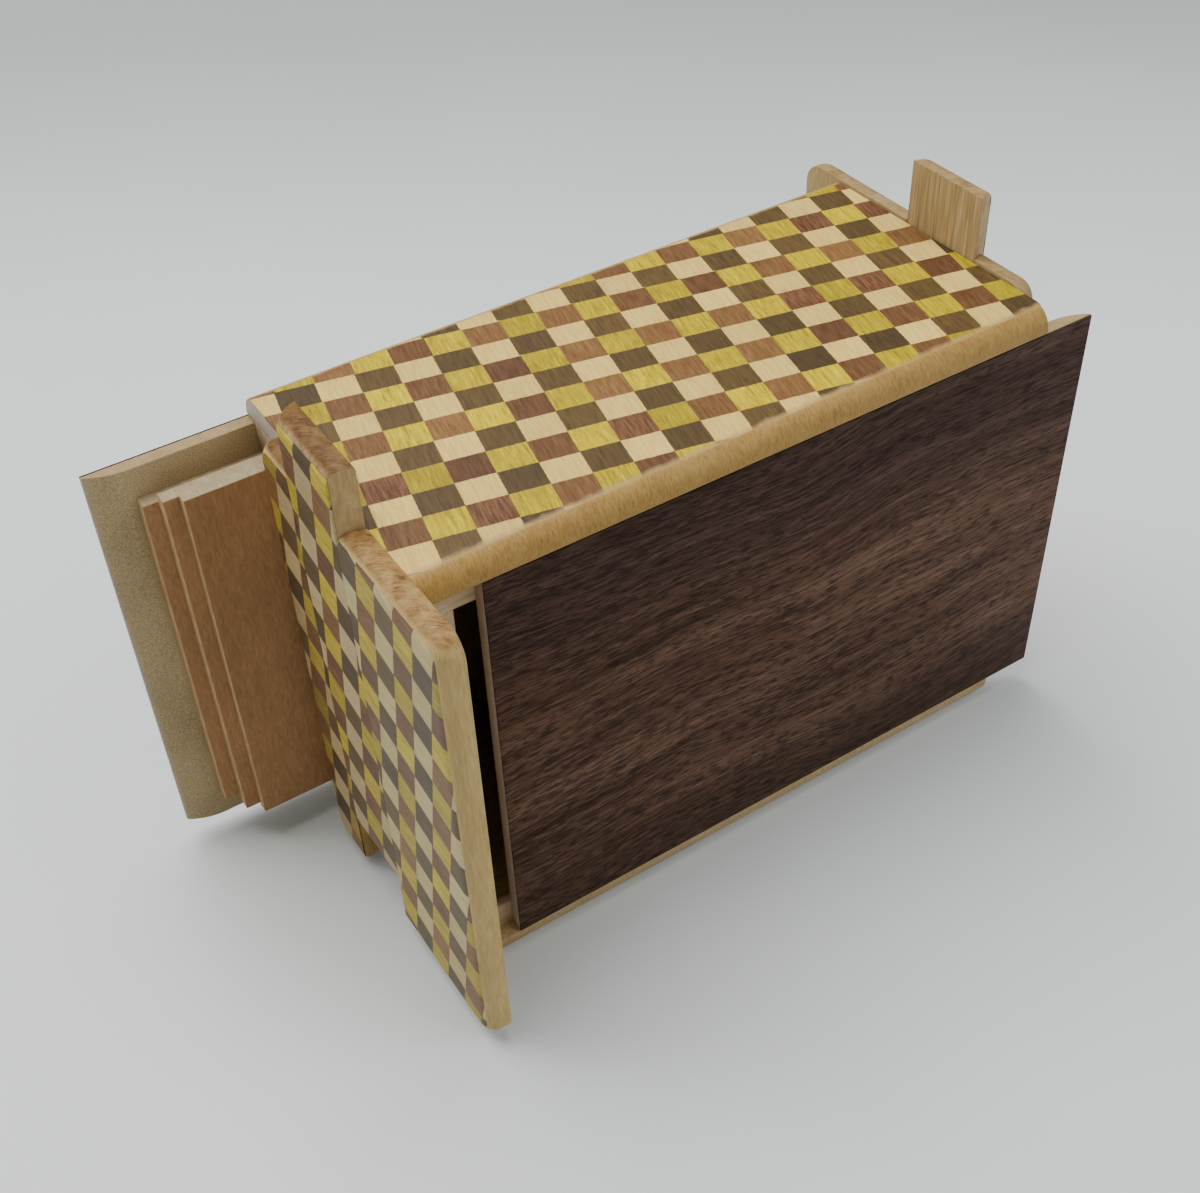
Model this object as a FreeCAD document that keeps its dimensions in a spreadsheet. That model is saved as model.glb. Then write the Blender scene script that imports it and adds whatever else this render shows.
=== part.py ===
import FreeCAD, Part
import Sketcher
import os

# A small wooden puzzle box lying on its long side, caught part way through its opening sequence.
# X runs along the box, Y from the lid (front) to the base panel (back), Z is up.
# The origin is the centre of the face that the box lies on.

doc = FreeCAD.newDocument("puzzle_box")

# ---------------------------------------------------------------- driving dimensions, millimetres
sheet = doc.addObject("Spreadsheet::Sheet", "dims")
dimensions = [
    # the closed box, without its two end panels
    ("body_length", 113.0),
    ("body_depth", 54.8),
    ("body_height", 85.4),
    ("side_thickness", 4.3),
    ("edge_round", 3.75),
    ("veneer", 0.3),
    # lid and base panel, and the grooves that they run in
    ("board_thickness", 2.7),
    ("board_end_gap", 0.15),
    ("slide_gap", 0.15),
    ("block_gap", 0.25),
    ("neck_gap", 0.4),
    ("flange_reach", 9.4),
    ("groove_reach", 7.7),
    ("taper_length", 6.6),
    ("taper_drop", 2.1),
    ("lid_neck_thickness", 1.8),
    ("lid_tongue_thickness", 1.4),
    ("lid_neck_setback", 9.0),
    ("base_neck_thickness", 2.6),
    ("base_tongue_thickness", 2.6),
    ("base_cap_thickness", 2.1),
    ("base_neck_setback", 6.5),
    ("base_tongue_setback", 9.0),
    ("base_cap_setback", 11.5),
    ("floor_thickness", 1.5),
    # fixed end walls and the cross-slides in them
    ("end_wall_thickness", 6.6),
    ("wall_clearance", 0.3),
    ("cleat_thickness", 1.2),
    ("cleat_height", 30.0),
    ("cleat_grip", 5.5),
    ("cleat_margin", 3.0),
    ("runner_thickness", 3.1),
    ("runner_height", 42.0),
    ("runner_length", 24.0),
    ("runner_rear", 16.5),
    ("rib_mouth", 9.0),
    ("rib_depth", 2.0),
    ("rib_flare", 0.75),
    ("stop_gap", 0.2),
    # end panels: a wide strip, a key and a narrow strip with dovetailed flanks
    ("panel_thickness", 4.0),
    ("panel_gap", 0.15),
    ("panel_round", 2.6),
    ("left_wide_width", 26.4),
    ("left_key_width", 19.0),
    ("right_wide_width", 26.65),
    ("right_key_width", 16.75),
    ("flank_rise", 1.8),
    ("key_gap", 0.1),
    ("peg_radius", 1.0),
    ("peg_reach", 1.55),
    ("peg_inset", 1.0),
    ("peg_end_gap", 0.3),
    # how far each moving piece has travelled from closed
    ("lid_out", 9.85),
    ("base_out", 26.8),
    ("panel_travel", 14.3),
    ("left_panel_out", 14.3),
    ("right_panel_out", 6.4),
    ("left_panel_lift", 1.9),
    ("right_panel_lift", 0.5),
    ("left_key_out", 9.95),
    ("right_key_out", 10.9),
]
derived = [
    ("half_length", "=body_length / 2"),
    ("half_depth", "=body_depth / 2"),
    ("mid_height", "=body_height / 2"),
    ("board_height", "=body_height - 2 * side_thickness - 2 * slide_gap"),
    ("board_length", "=body_length - 2 * board_end_gap"),
    ("neck_height", "=body_height - 2 * flange_reach - 2 * neck_gap"),
    ("tongue_height", "=body_height - 2 * groove_reach - 2 * block_gap"),
    ("wall_height", "=body_height - 2 * groove_reach"),
    ("nib_height", "=body_height - 2 * flange_reach"),
    ("lid_depth", "=board_thickness + lid_neck_thickness + lid_tongue_thickness"),
    ("base_block", "=base_neck_thickness + base_tongue_thickness + base_cap_thickness"),
    ("base_depth", "=board_thickness + base_block"),
    ("hidden_setback", "=end_wall_thickness + wall_clearance - board_end_gap"),
    ("taper_radius", "=(taper_length * taper_length + taper_drop * taper_drop) / (2 * taper_drop)"),
    ("panel_outer", "=panel_gap + panel_thickness"),
    ("flank_ratio", "=flank_rise / panel_thickness"),
    ("mouth_depth", "=cleat_thickness + slide_gap"),
    ("runner_front", "=runner_rear - runner_length"),
    ("rib_centre", "=runner_rear - runner_length / 2"),
    ("undercut_depth", "=mouth_depth + 2 * slide_gap + runner_thickness"),
    ("groove_width", "=2 * peg_radius + 2 * stop_gap"),
]
for row, (alias, value) in enumerate(dimensions + derived, start=1):
    cell = "B%d" % row
    sheet.set("A%d" % row, alias)
    sheet.set(cell, str(value))
    sheet.setAlias(cell, alias)
doc.recompute()


def bind(item, path, formula):
    """Bind one property to a formula over the sheet's words, each written with a leading #."""
    item.setExpression(path, formula.replace("#", "dims."))


def place(item, corner, half_turn_axis=None):
    """Bind an item's position, and turn it by half a turn about an axis if one is given."""
    if half_turn_axis is not None:
        turn = FreeCAD.Rotation(half_turn_axis, 180)
        item.Placement = FreeCAD.Placement(FreeCAD.Vector(), turn)
    for axis, formula in zip("xyz", corner):
        bind(item, "Placement.Base.%s" % axis, formula)
    return item


def block(label, low, size):
    """A plain board: its low corner and its size along X, Y and Z."""
    item = doc.addObject("Part::Box", label)
    for side, formula in zip(("Length", "Width", "Height"), size):
        bind(item, side, formula)
    return place(item, low)


def rod(label, radius, length, low, axis):
    """A round pin along an axis."""
    item = doc.addObject("Part::Cylinder", label)
    bind(item, "Radius", radius)
    bind(item, "Height", length)
    item.Placement = FreeCAD.Placement(
        FreeCAD.Vector(), FreeCAD.Rotation(FreeCAD.Vector(0, 0, 1), axis)
    )
    return place(item, low)


def cut(label, base, tool):
    """The base with the tool's shape taken out."""
    item = doc.addObject("Part::Cut", label)
    item.Base = base
    item.Tool = tool
    return item


def common(label, base, tool):
    """What the base and the tool share."""
    item = doc.addObject("Part::Common", label)
    item.Base = base
    item.Tool = tool
    return item


def fuse(label, base, tool):
    """Base and tool as one piece of wood."""
    item = doc.addObject("Part::Fuse", label)
    item.Base = base
    item.Tool = tool
    return item


def sheet_value(formula):
    """A formula's value now, worked out by the sheet itself."""
    sheet.set("D1", "=" + formula.replace("#", ""))
    sheet.recompute()
    return float(sheet.get("D1"))


def profile(label, corners, height):
    """A body whose straight-sided outline in the XY plane is padded upward."""
    body = doc.addObject("PartDesign::Body", label)
    sketch = body.newObject("Sketcher::SketchObject", label + "_outline")
    plane = [p for p in body.Origin.OriginFeatures if p.Role == "XY_Plane"][0]
    sketch.AttachmentSupport = (plane, [""])
    sketch.MapMode = "FlatFace"
    values = [
        tuple(sheet_value(formula) for formula in corner) for corner in corners
    ]
    count = len(corners)
    for n in range(count):
        start = FreeCAD.Vector(*values[n], 0)
        end = FreeCAD.Vector(*values[(n + 1) % count], 0)
        sketch.addGeometry(Part.LineSegment(start, end), False)
    for n in range(count):
        sketch.addConstraint(Sketcher.Constraint("Coincident", n, 2, (n + 1) % count, 1))
    for n, corner in enumerate(corners):
        for kind, formula, value in zip(("DistanceX", "DistanceY"), corner, values[n]):
            index = sketch.addConstraint(Sketcher.Constraint(kind, n, 1, value))
            bind(sketch, "Constraints[%d]" % index, formula)
    pad = body.newObject("PartDesign::Pad", label + "_pad")
    pad.Profile = sketch
    bind(pad, "Length", height)
    doc.recompute()
    return body


def soften(body, label, radius, wanted):
    """Round the edges whose middle point passes a test."""
    base = body.Tip
    names = []
    for n, edge in enumerate(body.Shape.Edges, start=1):
        middle = edge.valueAt((edge.FirstParameter + edge.LastParameter) / 2)
        if wanted(middle):
            names.append("Edge%d" % n)
    fillet = body.newObject("PartDesign::Fillet", label)
    fillet.Base = (base, names)
    bind(fillet, "Radius", radius)
    doc.recompute()
    return body


def near(value, target):
    return abs(value - target) < 0.01


X_AXIS = FreeCAD.Vector(1, 0, 0)
Y_AXIS = FreeCAD.Vector(0, 1, 0)
Z_AXIS = FreeCAD.Vector(0, 0, 1)
nodes = []

# ---------------------------------------------------------------- long side boards
# Each is a flat board with its two long outer edges rounded over, and a sheet of check veneer
# glued on its outer face before the rounding, so the sheet thins away where the round begins.
for name in ("top", "bottom"):
    envelope = profile(
        "side_envelope_" + name,
        [
            ("-#half_length", "-#half_depth"),
            ("#half_length", "-#half_depth"),
            ("#half_length", "#half_depth"),
            ("-#half_length", "#half_depth"),
        ],
        "#side_thickness",
    )
    thickness = sheet_value("#side_thickness")
    edge = sheet_value("#half_depth")
    soften(
        envelope,
        "side_round_" + name,
        "#edge_round",
        lambda p: near(p.z, thickness) and near(abs(p.y), edge),
    )
    sheet_slab = block(
        "veneer_slab_" + name,
        ("-#half_length", "-#half_depth", "#side_thickness - #veneer"),
        ("#body_length", "#body_depth", "#veneer"),
    )
    for label, item in (
        ("side_board_" + name, cut("side_board_" + name, envelope, sheet_slab)),
        ("side_veneer_" + name, common("side_veneer_" + name, envelope, sheet_slab)),
    ):
        if name == "top":
            place(item, ("0", "0", "#body_height - #side_thickness"))
        else:
            place(item, ("0", "0", "#side_thickness"), X_AXIS)
        nodes.append(item)

# ---------------------------------------------------------------- rails and liners
# Rails overhang the grooves and hold the lid and the base panel in. Liners floor the grooves.
lid_rail_thickness = "#lid_neck_thickness - 2 * #slide_gap"
base_rail_thickness = "#base_neck_thickness - 2 * #slide_gap"
lid_rail_front = "-#half_depth + #board_thickness + #slide_gap"
base_rail_front = "#half_depth - #board_thickness - #base_neck_thickness + #slide_gap"
rail_width = "#flange_reach - #side_thickness"
liner_width = "#groove_reach - #side_thickness"
liner_front = lid_rail_front + " + " + lid_rail_thickness
for name, rail_z, liner_z in (
    ("top", "#body_height - #flange_reach", "#body_height - #groove_reach"),
    ("bottom", "#side_thickness", "#side_thickness"),
):
    nodes.append(
        block(
            "lid_rail_" + name,
            ("-#half_length", lid_rail_front, rail_z),
            ("#body_length", lid_rail_thickness, rail_width),
        )
    )
    nodes.append(
        block(
            "base_rail_" + name,
            ("-#half_length", base_rail_front, rail_z),
            ("#body_length", base_rail_thickness, rail_width),
        )
    )
    nodes.append(
        block(
            "wall_liner_" + name,
            ("-#half_length", liner_front, liner_z),
            ("#body_length", "(%s) - (%s)" % (base_rail_front, liner_front), liner_width),
        )
    )

# ---------------------------------------------------------------- compartment floor
# A thin board between the keepsake compartment and the base panel's run.
floor_rear = "#half_depth - #base_depth - #block_gap"
compartment_length = "#body_length - 2 * #end_wall_thickness"
nodes.append(
    block(
        "compartment_floor",
        ("-#half_length + #end_wall_thickness", floor_rear + " - #floor_thickness",
         "#groove_reach"),
        (compartment_length, "#floor_thickness", "#wall_height"),
    )
)

# ---------------------------------------------------------------- lid and base panel
# Each is a thin board, dark veneer outside, that thins to a tip at its leading end. A neck between
# the rails and wider layers behind them hold it to the box.


def slide_board(label, lead, outer, inner, shift):
    """A thin board whose leading end (lead is 1 or -1 along X) thins from its inner side."""
    facing = 1 if sheet_value(inner) > sheet_value(outer) else -1
    low = outer if facing > 0 else inner
    depth = "#board_thickness - #veneer"
    board = block(
        label + "_blank",
        ("-#half_length + #board_end_gap", low, "#side_thickness + #slide_gap"),
        ("#board_length", depth, "#board_height"),
    )
    tip = "%d * (#half_length - #board_end_gap)" % lead
    start = "%s - (%d) * #taper_length" % (tip, lead)
    corner = block(
        label + "_corner",
        (
            start if lead > 0 else tip,
            inner + " - #taper_drop" if facing > 0 else inner,
            "#side_thickness + #slide_gap",
        ),
        ("#taper_length", "#taper_drop", "#board_height"),
    )
    curve = rod(
        label + "_curve",
        "#taper_radius",
        "#board_height",
        (
            start,
            "%s - (%d) * #taper_radius" % (inner, facing),
            "#side_thickness + #slide_gap",
        ),
        Z_AXIS,
    )
    waste = cut(label + "_waste", corner, curve)
    item = cut(label, board, waste)
    nodes.append(place(item, (shift, "0", "0")))


def slide_layer(label, left, right, front, thickness, height, shift):
    """One flat layer glued behind a slide's board, centred on the box's height."""
    nodes.append(
        block(
            label,
            (left + " + " + shift, front, "#mid_height - (%s) / 2" % height),
            ("(%s) - (%s)" % (right, left), thickness, height),
        )
    )


lid_shift = "#lid_out"
base_shift = "-#base_out"
board_left = "-#half_length + #board_end_gap"
board_right = "#half_length - #board_end_gap"
lid_inner = "-#half_depth + #board_thickness"
base_inner = "#half_depth - #board_thickness"

slide_board("lid_board", 1, "-#half_depth + #veneer", lid_inner, lid_shift)
slide_board("base_board", -1, "#half_depth - #veneer", base_inner, base_shift)
for name, front, shift in (
    ("lid_veneer", "-#half_depth", lid_shift),
    ("base_veneer", "#half_depth - #veneer", base_shift),
):
    nodes.append(
        block(
            name,
            (board_left + " + " + shift, front, "#side_thickness + #slide_gap"),
            ("#board_length", "#veneer", "#board_height"),
        )
    )

lid_layer_left = board_left + " + #hidden_setback"
lid_layer_right = board_right + " - #lid_neck_setback"
slide_layer("lid_neck", lid_layer_left, lid_layer_right, lid_inner,
            "#lid_neck_thickness", "#neck_height", lid_shift)
slide_layer("lid_tongue", lid_layer_left, lid_layer_right,
            lid_inner + " + #lid_neck_thickness", "#lid_tongue_thickness",
            "#tongue_height", lid_shift)

base_layer_right = board_right + " - #hidden_setback"
neck_front = base_inner + " - #base_neck_thickness"
tongue_front = neck_front + " - #base_tongue_thickness"
cap_front = tongue_front + " - #base_cap_thickness"
slide_layer("base_neck", board_left + " + #base_neck_setback", base_layer_right, neck_front,
            "#base_neck_thickness", "#neck_height", base_shift)
slide_layer("base_tongue", board_left + " + #base_tongue_setback", base_layer_right, tongue_front,
            "#base_tongue_thickness", "#tongue_height - 2 * #neck_gap", base_shift)

# The innermost layer has a slot, and a pin in the compartment floor ends the base panel's run.
cap_blank = block(
    "base_cap_blank",
    (board_left + " + #base_cap_setback", cap_front, "#mid_height - #tongue_height / 2"),
    ("(%s) - (%s + #base_cap_setback)" % (base_layer_right, board_left),
     "#base_cap_thickness", "#tongue_height"),
)
pin_x = "-#peg_radius"
slot_blank = block(
    "base_cap_slot",
    (pin_x + " - #peg_radius - #stop_gap", cap_front, "#mid_height - #groove_width / 2"),
    ("#base_out + #groove_width", "#base_cap_thickness", "#groove_width"),
)
nodes.append(place(cut("base_cap", cap_blank, slot_blank), (base_shift, "0", "0")))
nodes.append(
    rod("base_stop_pin", "#peg_radius", "#block_gap + #peg_reach",
        (pin_x, floor_rear, "#mid_height"), Y_AXIS)
)

# ---------------------------------------------------------------- the two ends
# Both ends are the same construction turned half a turn about Z. Each is drawn at the left end
# with the end plane at x = 0 and the box inside at x > 0, then placed.


def end_place(item, side, out="0", lift="0"):
    """Put a piece drawn in the end's own frame at its end of the box, slid out and lifted."""
    if side == "left":
        return place(item, ("-#half_length", "-(%s)" % out, lift))
    return place(item, ("#half_length", out, lift), Z_AXIS)


def flank(side, which):
    """Y of a dovetailed joint at the panel's inner face, in the end's own frame."""
    first = "-#half_depth + #%s_wide_width" % side
    return first if which == "wide" else first + " + #%s_key_width" % side


def cleat_front(side):
    return "(%s) - #cleat_grip" % flank(side, "wide")


def end_wall(side, rail_thickness, rear):
    """The fixed wall with a T-shaped slot, open at its rear edge, for the cross-slide."""
    front = "-#half_depth + #board_thickness + #slide_gap"
    behind_rail = front + " + " + rail_thickness
    nib = block(
        side + "_wall_nib",
        ("0", front, "#flange_reach"),
        ("#end_wall_thickness", "(%s) - (%s)" % (rear, front), "#nib_height"),
    )
    web = block(
        side + "_wall_web",
        ("0", behind_rail, "#groove_reach"),
        ("#end_wall_thickness", "(%s) - (%s)" % (rear, behind_rail), "#wall_height"),
    )
    blank = fuse(side + "_wall_blank", nib, web)
    mouth_front = "%s - #panel_travel - #stop_gap" % cleat_front(side)
    mouth_low = "#mid_height - #cleat_height / 2 - #stop_gap"
    mouth = block(
        side + "_wall_mouth",
        ("0", mouth_front, mouth_low),
        (
            "#mouth_depth",
            "(%s) - (%s)" % (rear, mouth_front),
            "#cleat_height + #%s_panel_lift + 2 * #stop_gap" % side,
        ),
    )
    slot_front = "#runner_front - #panel_travel - #stop_gap"
    undercut = block(
        side + "_wall_undercut",
        ("#mouth_depth", slot_front, "#mid_height - #runner_height / 2 - #slide_gap"),
        (
            "#undercut_depth - #mouth_depth",
            "(%s) - (%s)" % (rear, slot_front),
            "#runner_height + 2 * #slide_gap",
        ),
    )
    slot = fuse(side + "_wall_slot", mouth, undercut)
    nodes.append(end_place(cut("end_wall_" + side, blank, slot), side))


def runner(side, out):
    """The bar that slides along Y in the wall's slot, grooved up its face for the cleat's rib."""
    outer = "#mouth_depth + #slide_gap"
    blank = block(
        side + "_runner_blank",
        (outer, "#runner_front", "#mid_height - #runner_height / 2"),
        ("#runner_thickness", "#runner_length", "#runner_height"),
    )
    deep = outer + " + #rib_depth"
    wide = "#rib_mouth / 2 + #rib_flare * #rib_depth"
    groove = profile(
        side + "_runner_groove",
        [
            (outer, "#rib_centre - #rib_mouth / 2"),
            (deep, "#rib_centre - (%s)" % wide),
            (deep, "#rib_centre + (%s)" % wide),
            (outer, "#rib_centre + #rib_mouth / 2"),
        ],
        "#body_height",
    )
    nodes.append(end_place(cut(side + "_runner", blank, groove), side, out))


def cleat(side, out, lift):
    """The hidden strip that joins the two outer strips and carries the dovetailed rib."""
    front = cleat_front(side)
    low = "#mid_height - #cleat_height / 2"
    plate = block(
        side + "_cleat_plate",
        ("-#panel_gap", front, low),
        (
            "#panel_gap + #cleat_thickness",
            "#half_depth - #cleat_margin - (%s)" % front,
            "#cleat_height",
        ),
    )
    outer = "#mouth_depth + #slide_gap"
    shoulder = "#rib_mouth / 2 - #stop_gap - #rib_flare * (%s - #cleat_thickness)" % outer
    end = "#rib_mouth / 2 - #stop_gap + #rib_flare * (#rib_depth - #slide_gap)"
    deep = outer + " + #rib_depth - #slide_gap"
    rib = profile(
        side + "_cleat_rib",
        [
            ("#cleat_thickness", "#rib_centre - (%s)" % shoulder),
            (deep, "#rib_centre - (%s)" % end),
            (deep, "#rib_centre + (%s)" % end),
            ("#cleat_thickness", "#rib_centre + (%s)" % shoulder),
        ],
        "#cleat_height",
    )
    place(rib, ("0", "0", low))
    whole = fuse(side + "_cleat_blank", plate, rib)
    key_centre = "((%s) + (%s)) / 2" % (flank(side, "wide"), flank(side, "narrow"))
    peg_end = ("-#panel_gap - #peg_reach", key_centre, "#mid_height")
    length = "#panel_gap + #peg_reach + #peg_inset"
    hole = rod(side + "_peg_hole", "#peg_radius", length, peg_end, X_AXIS)
    nodes.append(end_place(cut(side + "_cleat", whole, hole), side, out, lift))
    peg = rod(side + "_peg_rod", "#peg_radius", length, peg_end, X_AXIS)
    end_bounds = block(
        side + "_peg_bounds",
        ("-#panel_outer", "-#half_depth", "0"),
        ("#panel_outer + #end_wall_thickness", "#body_depth", "#body_height"),
    )
    nodes.append(end_place(common(side + "_key_stop", peg, end_bounds), side, out, lift))


def split_veneer(envelope, side, piece, out, lift):
    """Part an end strip into its wood and the veneer on its outer face."""
    slab = block(
        "%s_%s_slab" % (side, piece),
        ("-#panel_outer", "-#half_depth", "0"),
        ("#veneer", "#body_depth", "#body_height"),
    )
    label = "key" if piece == "key" else piece + "_strip"
    wood = cut("%s_%s" % (side, label), envelope, slab)
    face = common("%s_%s_veneer" % (side, piece), envelope, slab)
    for item in (wood, face):
        nodes.append(end_place(item, side, out, lift))


def outer_strip(side, piece, out, lift):
    """The wide or the narrow strip, rounded at its corners and round its outer face."""
    joint = flank(side, piece)
    if piece == "wide":
        edge = "-#half_depth"
        joint_outer = "%s + #flank_rise" % joint
    else:
        edge = "#half_depth"
        joint_outer = "%s - #flank_rise" % joint
    corners = [
        ("-#panel_gap", edge),
        ("-#panel_gap", joint),
        ("-#panel_outer", joint_outer),
        ("-#panel_outer", edge),
    ]
    body = profile("%s_%s_envelope" % (side, piece), corners, "#body_height")
    far = sheet_value(edge)
    outer = -sheet_value("#panel_outer")
    height = sheet_value("#body_height")
    flank_y = sheet_value(joint_outer)
    soften(
        body,
        "%s_%s_corners" % (side, piece),
        "#edge_round",
        lambda p: near(p.y, far) and (near(p.z, 0) or near(p.z, height)),
    )
    soften(
        body,
        "%s_%s_rim" % (side, piece),
        "#panel_round",
        lambda p: near(p.x, outer) and not near(p.y, flank_y),
    )
    split_veneer(body, side, piece, out, lift)


def key(side, out, lift, key_out):
    """The dovetailed strip that rises between the other two, with a blind groove for its stop."""
    inner_step = "#key_gap + #flank_ratio * #slide_gap"
    outer_step = "#key_gap + #flank_rise"
    low = flank(side, "wide")
    high = flank(side, "narrow")
    body = profile(
        side + "_key_envelope",
        [
            ("-#panel_gap - #slide_gap", "%s + %s" % (low, inner_step)),
            ("-#panel_gap - #slide_gap", "%s - (%s)" % (high, inner_step)),
            ("-#panel_outer", "%s - (%s)" % (high, outer_step)),
            ("-#panel_outer", "%s + %s" % (low, outer_step)),
        ],
        "#body_height",
    )
    outer = -sheet_value("#panel_outer")
    height = sheet_value("#body_height")
    soften(
        body,
        side + "_key_rim",
        "#panel_round",
        lambda p: near(p.x, outer) and (near(p.z, 0) or near(p.z, height)),
    )
    groove_depth = "#peg_reach - #slide_gap + #peg_end_gap"
    groove = block(
        side + "_key_groove",
        (
            "-#panel_gap - #slide_gap - (%s)" % groove_depth,
            "((%s) + (%s)) / 2 - #groove_width / 2" % (low, high),
            "#mid_height - %s - #groove_width / 2" % key_out,
        ),
        (groove_depth, "#groove_width", "%s + #groove_width" % key_out),
    )
    grooved = cut(side + "_key_grooved", body, groove)
    split_veneer(grooved, side, "key", out, "%s + %s" % (lift, key_out))


for side, rail_thickness, rear, out, key_out in (
    ("left", lid_rail_thickness, "#half_depth - #base_depth - #block_gap",
     "#left_panel_out", "#left_key_out"),
    ("right", base_rail_thickness, "#half_depth - #lid_depth - #block_gap",
     "#right_panel_out", "#right_key_out"),
):
    lift = "#%s_panel_lift" % side
    end_wall(side, rail_thickness, rear)
    runner(side, out)
    cleat(side, out, lift)
    outer_strip(side, "wide", out, lift)
    outer_strip(side, "narrow", out, lift)
    key(side, out, lift, key_out)

# ---------------------------------------------------------------- check and write
doc.recompute()
for item in doc.Objects:
    if "Invalid" in item.State or "Error" in item.State:
        raise RuntimeError("%s did not build: %s" % (item.Label, item.State))
os.makedirs("parts", exist_ok=True)
for item in nodes:
    if item.Shape.isNull() or not item.Shape.isValid():
        raise RuntimeError("%s has no valid shape" % item.Label)
    item.Shape.exportStep("parts/%s.step" % item.Label)
print("%d pieces written" % len(nodes))
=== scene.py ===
import math

import bpy
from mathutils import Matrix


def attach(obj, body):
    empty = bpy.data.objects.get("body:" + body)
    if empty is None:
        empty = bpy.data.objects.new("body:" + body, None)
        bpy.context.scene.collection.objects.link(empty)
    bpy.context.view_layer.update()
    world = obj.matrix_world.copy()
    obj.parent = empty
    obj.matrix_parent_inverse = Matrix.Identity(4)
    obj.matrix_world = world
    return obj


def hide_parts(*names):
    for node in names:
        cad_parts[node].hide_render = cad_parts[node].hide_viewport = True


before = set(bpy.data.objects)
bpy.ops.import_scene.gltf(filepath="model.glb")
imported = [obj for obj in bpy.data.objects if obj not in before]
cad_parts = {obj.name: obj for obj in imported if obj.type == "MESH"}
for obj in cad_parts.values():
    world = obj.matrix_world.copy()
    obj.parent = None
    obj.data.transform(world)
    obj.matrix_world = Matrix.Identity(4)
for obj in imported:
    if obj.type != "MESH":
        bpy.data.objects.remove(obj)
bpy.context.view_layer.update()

# ---------------------------------------------------------------- the table and the light
# The box lies on a plain pale sheet. Far behind it the sheet is darkened to grey by painted shade
# that stands in for the light falling off. A broad ceiling light hangs above and a little behind, a
# fill light stands to the near right, and a weak window light comes from the far left, so every
# face is lit and the shadows stay faint.
MM = 0.001
SHEET_WIDTH = 6.0
# Painted shade on the sheet: where it begins and ends behind the box, and how dark it grows.
FADE_SLANT = 0.55  # how far the line of the fall-off is turned from the box's length
FADE_FROM = 0.10  # metres behind the box
FADE_TO = 0.42
PAINTED_SHADE_DEPTH = 0.62
ROOM_TINT = (0.93, 0.96, 1.0, 1.0)
ROOM_STRENGTH = 0.27
AIM = (0, 0, 0.04)


def linear(code):
    """A colour given as an sRGB hex code, turned to the linear values that shaders take."""
    channels = [int(code[n:n + 2], 16) / 255 for n in (0, 2, 4)]
    return [c / 12.92 if c <= 0.04045 else ((c + 0.055) / 1.055) ** 2.4 for c in channels] + [1.0]


def add_node(material, kind, inputs=None, stops=None, **settings):
    """Add one node to a material, with its settings, input values or links, and ramp stops."""
    node = material.node_tree.nodes.new(kind)
    for name, value in settings.items():
        setattr(node, name, value)
    for socket, value in (inputs or {}).items():
        if isinstance(value, bpy.types.NodeSocket):
            material.node_tree.links.new(value, node.inputs[socket])
        else:
            node.inputs[socket].default_value = value
    if stops:
        elements = node.color_ramp.elements
        while len(elements) < len(stops):
            elements.new(1.0)
        for element, (place, colour) in zip(elements, stops):
            element.position = place
            element.color = colour
    return node


def new_material(name):
    """An empty node material, with its output node."""
    material = bpy.data.materials.new(name)
    material.use_nodes = True
    material.node_tree.nodes.clear()
    return material, add_node(material, "ShaderNodeOutputMaterial")


def finish_material(material, output, colour, roughness, height=None, depth=0.0, **fixed):
    """Join a colour, a roughness and a relief in metres to one shader."""
    shader = add_node(
        material, "ShaderNodeBsdfPrincipled", {"Base Color": colour, "Roughness": roughness},
    )
    for socket, value in fixed.items():
        shader.inputs[socket.replace("_", " ")].default_value = value
    if height is not None:
        bump = add_node(
            material, "ShaderNodeBump", {"Height": height, "Strength": 1.0, "Distance": depth},
        )
        material.node_tree.links.new(bump.outputs["Normal"], shader.inputs["Normal"])
    material.node_tree.links.new(shader.outputs["BSDF"], output.inputs["Surface"])
    return material


bpy.ops.object.select_all(action="DESELECT")
bpy.ops.mesh.primitive_plane_add(size=SHEET_WIDTH, location=(0, 0, 0))
table = bpy.context.object
table.name = "table_sheet"

# Matt white paper sheet: no gloss, hardly any tone of its own, only slow faint clouding. Far
# behind the box it is darkened to grey as painted shade for the light falling off.
table_paint, paint_output = new_material("matt_white_sheet")
table_place = add_node(table_paint, "ShaderNodeTexCoord")
mottle = add_node(
    table_paint, "ShaderNodeTexNoise",
    {"Vector": table_place.outputs["Object"], "Scale": 9.0, "Detail": 3.0},
)
sheet_tone = add_node(
    table_paint, "ShaderNodeValToRGB", {"Fac": mottle.outputs["Fac"]},
    stops=[(0.3, linear("D8DDDC")), (0.7, linear("DEE3E2"))],
)
away = add_node(table_paint, "ShaderNodeSeparateXYZ", {"Vector": table_place.outputs["Object"]})
across = add_node(
    table_paint, "ShaderNodeMath", {0: away.outputs["X"], 1: FADE_SLANT, 2: away.outputs["Y"]},
    operation="MULTIPLY_ADD",
)
# Painted shade: the sheet darkens towards the grey 7C7E80 far behind the box, for the light falling
# off.
painted_rear_shade = add_node(
    table_paint, "ShaderNodeMapRange",
    {"Value": across.outputs["Value"], "From Min": FADE_FROM, "From Max": FADE_TO,
     "To Max": PAINTED_SHADE_DEPTH},
    interpolation_type="SMOOTHSTEP",
)
sheet_colour = add_node(
    table_paint, "ShaderNodeMix", {"Factor": painted_rear_shade.outputs["Result"]}, data_type="RGBA",
)
table_paint.node_tree.links.new(sheet_tone.outputs["Color"], sheet_colour.inputs[6])
sheet_colour.inputs[7].default_value = linear("7C7E80")
finish_material(table_paint, paint_output, sheet_colour.outputs[2], 0.7)
table.data.materials.append(table_paint)


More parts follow.
